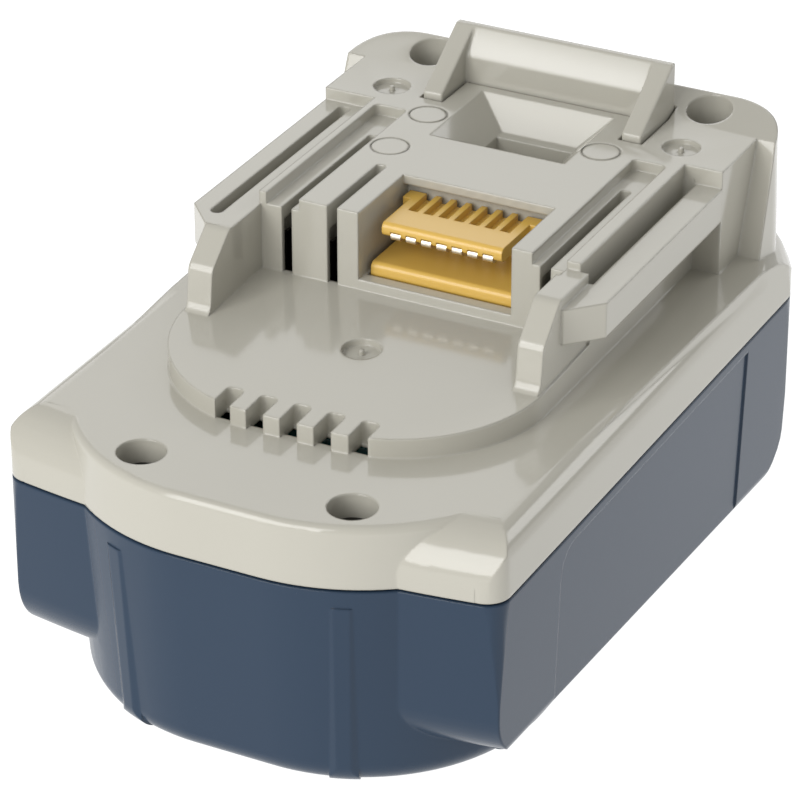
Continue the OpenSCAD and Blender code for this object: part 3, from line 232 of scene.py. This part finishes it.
# Floor pad: a thin die-cut sheet of black cellular rubber, glued to the tub's floor.
# It lies under the lower row of cells and keeps them from rattling.
def one_texture(name, kind, colour, shade, low, high, strength, depth, stretch=None, **values):
    """A finish whose colour, gloss and relief all follow one texture."""
    material, tree, shader = node_material(name)
    height = pattern(tree, kind, stretch, **values).outputs[0]
    blended(tree, shader, height, colour, shade)
    gloss_range(tree, shader, height, low, high)
    relief(tree, shader, height, strength, depth)
    return material


def finish(material, *nodes):
    """Puts a finish on solids that are carried over as they are."""
    for node in nodes:
        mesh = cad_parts[node].data
        mesh.materials.clear()
        mesh.materials.append(material)


foam_rubber = one_texture(
    "cellular rubber", "ShaderNodeTexVoronoi", (0.006, 0.006, 0.007), (0.035, 0.035, 0.037),
    low=0.95, high=0.75, strength=0.6, depth=0.15 * MM, Scale=1500,
)
finish(foam_rubber, "floor_pad")


# Cells: eight steel cans in a heat-shrunk teal sleeve, which stops short of the bare metal ends.
# The sleeve has faint draw lines along the cell, and the ends are nickel-plated.
SLEEVE_HALF = 32.0 * MM
cell_sleeve, tree, shader = node_material("shrunk cell sleeve")
streaks = pattern(tree, "ShaderNodeTexNoise", stretch=(40, 900, 900), Scale=1, Detail=3)
film = blended(tree, shader, streaks.outputs["Fac"], (0.020, 0.190, 0.170), (0.015, 0.150, 0.135))
apart = pattern(tree, "ShaderNodeSeparateXYZ")
reach = tree.nodes.new("ShaderNodeMath")
reach.operation = "ABSOLUTE"
tree.links.new(apart.outputs["X"], reach.inputs[0])
bare = tree.nodes.new("ShaderNodeMath")
bare.operation = "GREATER_THAN"
bare.inputs[1].default_value = SLEEVE_HALF
tree.links.new(reach.outputs["Value"], bare.inputs[0])
plated = tree.nodes.new("ShaderNodeMix")
plated.data_type = "RGBA"
plated.inputs["B"].default_value = (0.60, 0.58, 0.54, 1)
tree.links.new(film.outputs["Result"], plated.inputs["A"])
tree.links.new(bare.outputs["Value"], plated.inputs["Factor"])
tree.links.new(plated.outputs["Result"], shader.inputs["Base Color"])
tree.links.new(bare.outputs["Value"], shader.inputs["Metallic"])
gloss_range(tree, shader, streaks.outputs["Fac"], 0.22, 0.34)
finish(cell_sleeve, *("cell_%d" % i for i in range(1, 9)))


# Cell holders: two end frames of natural white flame-retardant plastic, with a dull face.
# They hold the cells' ends, and the board rests on them.
holder_plastic = one_texture(
    "white holder plastic", "ShaderNodeTexNoise", (0.62, 0.61, 0.57), (0.72, 0.71, 0.67),
    low=0.45, high=0.62, strength=0.3, depth=0.02 * MM, Scale=1400, Detail=5,
)
finish(holder_plastic, "cell_holder_left", "cell_holder_right")


# Straps: punched nickel strip with fine rolling lines, spot-welded from cell to cell.
# Three join the cells' left ends and two the right ones, which puts four pairs in series.
def rolled_metal(name, colour, shade, low, high, stretch):
    """Metal with fine lines from rolling or drawing, stretched along one direction."""
    metal = one_texture(
        name, "ShaderNodeTexNoise", colour, shade, low, high,
        strength=0.15, depth=0.01 * MM, stretch=stretch, Scale=1, Detail=4,
    )
    metal.node_tree.nodes["Principled BSDF"].inputs["Metallic"].default_value = 1
    return metal


nickel = rolled_metal(
    "rolled nickel", (0.66, 0.63, 0.57), (0.54, 0.52, 0.47), 0.22, 0.36, stretch=(900, 60, 2400),
)
finish(nickel, "strap_left_1", "strap_left_2", "strap_left_3", "strap_right_1", "strap_right_2")


# Insulating sheets: die-cut fibre board with felted fibres.
# One stands at each end of the cells, between the straps and the tub's wall.
insulating_sheet = one_texture(
    "fibre sheet", "ShaderNodeTexNoise", (0.50, 0.47, 0.38), (0.68, 0.65, 0.55),
    low=0.7, high=0.9, strength=0.4, depth=0.03 * MM, Scale=700, Detail=6, Distortion=2,
)
finish(insulating_sheet, "insulator_left", "insulator_right")


# Circuit board: glass-fibre laminate under green solder mask, whose tone shows the copper beneath.
# It lies on the cell holders and carries the terminals.
board_laminate, tree, shader = node_material("masked laminate")
tracks = pattern(
    tree, "ShaderNodeTexBrick", Scale=55, Mortar_Size=0.05, Brick_Width=0.9, Row_Height=0.22,
    Color1=(0.012, 0.105, 0.045, 1), Color2=(0.015, 0.120, 0.052, 1), Mortar=(0.030, 0.190, 0.080, 1),
)
tree.links.new(tracks.outputs["Color"], shader.inputs["Base Color"])
gloss_range(tree, shader, tracks.outputs["Fac"], 0.3, 0.2)
relief(tree, shader, tracks.outputs["Fac"], strength=0.5, depth=0.03 * MM)
finish(board_laminate, "circuit_board")


# Chip, fuse and temperature bead: moulded in filled resin with a sandy face.
# The chip and the fuse are soldered to the board, and the bead lies on the cells.
def filled_resin(name, colour, shade, gloss):
    """Moulded resin whose filler shows as fine speckle."""
    return one_texture(
        name, "ShaderNodeTexNoise", colour, shade, gloss - 0.08, gloss + 0.1,
        strength=0.4, depth=0.02 * MM, Scale=5000, Detail=3,
    )


chip_resin = filled_resin("black chip resin", (0.010, 0.010, 0.011), (0.030, 0.030, 0.032), gloss=0.5)
fuse_ceramic = filled_resin("pale fuse ceramic", (0.62, 0.61, 0.55), (0.74, 0.73, 0.67), gloss=0.4)
bead_epoxy = filled_resin("dark bead epoxy", (0.012, 0.013, 0.018), (0.028, 0.030, 0.038), gloss=0.3)
finish(chip_resin, "controller_chip")
finish(fuse_ceramic, "power_fuse")
finish(bead_epoxy, "thermistor")


# Capacitor: a drawn aluminium can.
# It stands on the board, between the connector and the latch.
can_aluminium = rolled_metal(
    "drawn aluminium", (0.78, 0.78, 0.79), (0.66, 0.66, 0.68), 0.2, 0.34, stretch=(500, 500, 2600),
)
finish(can_aluminium, "bulk_capacitor")


# Power terminals: three pairs of sprung copper leaves on feet that are soldered to the board.
# They are tinned, and painted dark grey as the shade inside the deep slots they sit in.
# Near-black colour: painted shade of the slots, not the metal's own tone.
terminal_metal_painted_shade = rolled_metal(
    "tinned copper painted with slot shade", (0.10, 0.092, 0.085), (0.055, 0.050, 0.046), 0.28, 0.42, stretch=(800, 2600, 90),
)
finish(terminal_metal_painted_shade, "terminal_charge", "terminal_positive", "terminal_negative")


# Terminal block: the comb and tray that carry the signal contacts.
# It is moulded in yellow plastic in one piece and stands in the cover's bay.
connector_plastic = moulded_plastic(
    "yellow connector plastic", (0.665, 0.43, 0.095), (0.63, 0.39, 0.078), gloss=0.24, corner=0.25 * MM,
)
moulded_skin("terminal_block", "pack", connector_plastic)


# Signal contacts: seven bent strips of flashed bronze, from the board to the comb.
# They are bright where they wrap the comb's lip.
contact_metal = rolled_metal(
    "flashed bronze", (0.80, 0.72, 0.60), (0.68, 0.60, 0.48), 0.24, 0.38, stretch=(2600, 300, 300),
)
finish(contact_metal, *("signal_contact_%d" % i for i in range(1, 8)))


# Cover: the upper case with the rails, moulded in warm light-grey nylon with a glossier face.
# It stands on the tub's tongue, and four screws hold it down.
cover_plastic = moulded_plastic(
    "grey cover plastic", (0.435, 0.42, 0.365), (0.415, 0.40, 0.345), gloss=0.11, corner=0.5 * MM,
)
moulded_skin("upper_case", "pack", cover_plastic)


# Screws: four self-tapping steel screws, sunk deep in the cover's bosses, painted near-black as the
# shade at the bottom of their holes.
# They cut their own thread in the tub's posts.
# Near-black colour: painted shade for the heads deep in the holes, not the steel's own tone.
steel = rolled_metal(
    "screw steel in painted shade", (0.045, 0.043, 0.040), (0.030, 0.029, 0.028), 0.25, 0.4,
    stretch=(1500, 1500, 300),
)
finish(steel, "front_screws", "rear_screws")


# Latch springs: two coils of drawn spring wire between the tub and the hook.
# In the pack they shorten by the latch's travel as it goes down; here they stay fixed with the tub.
wire = rolled_metal(
    "spring wire", (0.52, 0.51, 0.50), (0.40, 0.39, 0.38), 0.18, 0.3, stretch=(2200, 2200, 700),
)
for node in ("latch_spring_left", "latch_spring_right"):
    coil, bm = copied_solid(node, "_coil")
    put_in_place(coil, bm, node, "pack", wire)
    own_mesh(coil)


# Latch: the hook and the button are one sliding unit, moulded in the cover's grey.
# The hook's edges are rounded, so that it slips into the tool's catch.
HOOK_ROUND = 0.3 * MM
moulded_skin("latch_hook", "latch", cover_plastic, HOOK_ROUND)
moulded_skin("release_button", "latch", cover_plastic)
